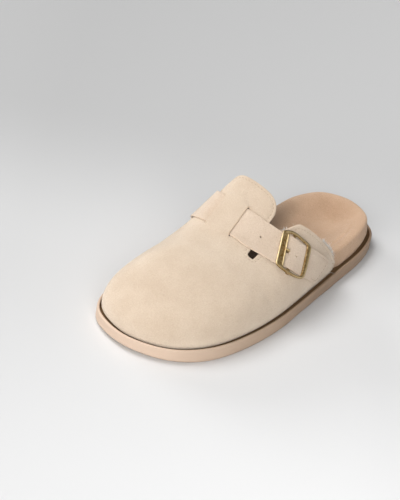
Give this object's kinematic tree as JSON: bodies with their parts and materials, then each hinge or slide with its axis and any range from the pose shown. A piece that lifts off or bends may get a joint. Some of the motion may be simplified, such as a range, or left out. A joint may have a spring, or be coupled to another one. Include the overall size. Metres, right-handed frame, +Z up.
{
  "type": "clog slipper",
  "caption": "Left backless clog slipper: flat-soled outsole, contoured footbed with heel cup, one-piece upper with a strap threaded through two slits, fastened pin buckle.",
  "frame": {"origin": "on the floor, under the middle of the outsole", "axes": "+Z up, +Y from the toe towards the heel, +X towards the lateral side of this left shoe"},
  "size_m": [0.1058, 0.266, 0.0836],
  "materials": {
    "sole_foam": "matte",
    "footbed_suede": "matte suede",
    "upper_suede": "matte suede",
    "strap_suede": "matte suede",
    "frame_brass": "antique satin",
    "prong_brass": "antique satin"
  },
  "bodies": {
    "root": {"outsole": "sole_foam", "footbed": "footbed_suede", "upper": "upper_suede", "strap": "strap_suede", "buckle_frame": "frame_brass", "buckle_prong": "prong_brass"}
  },
  "joints": []
}
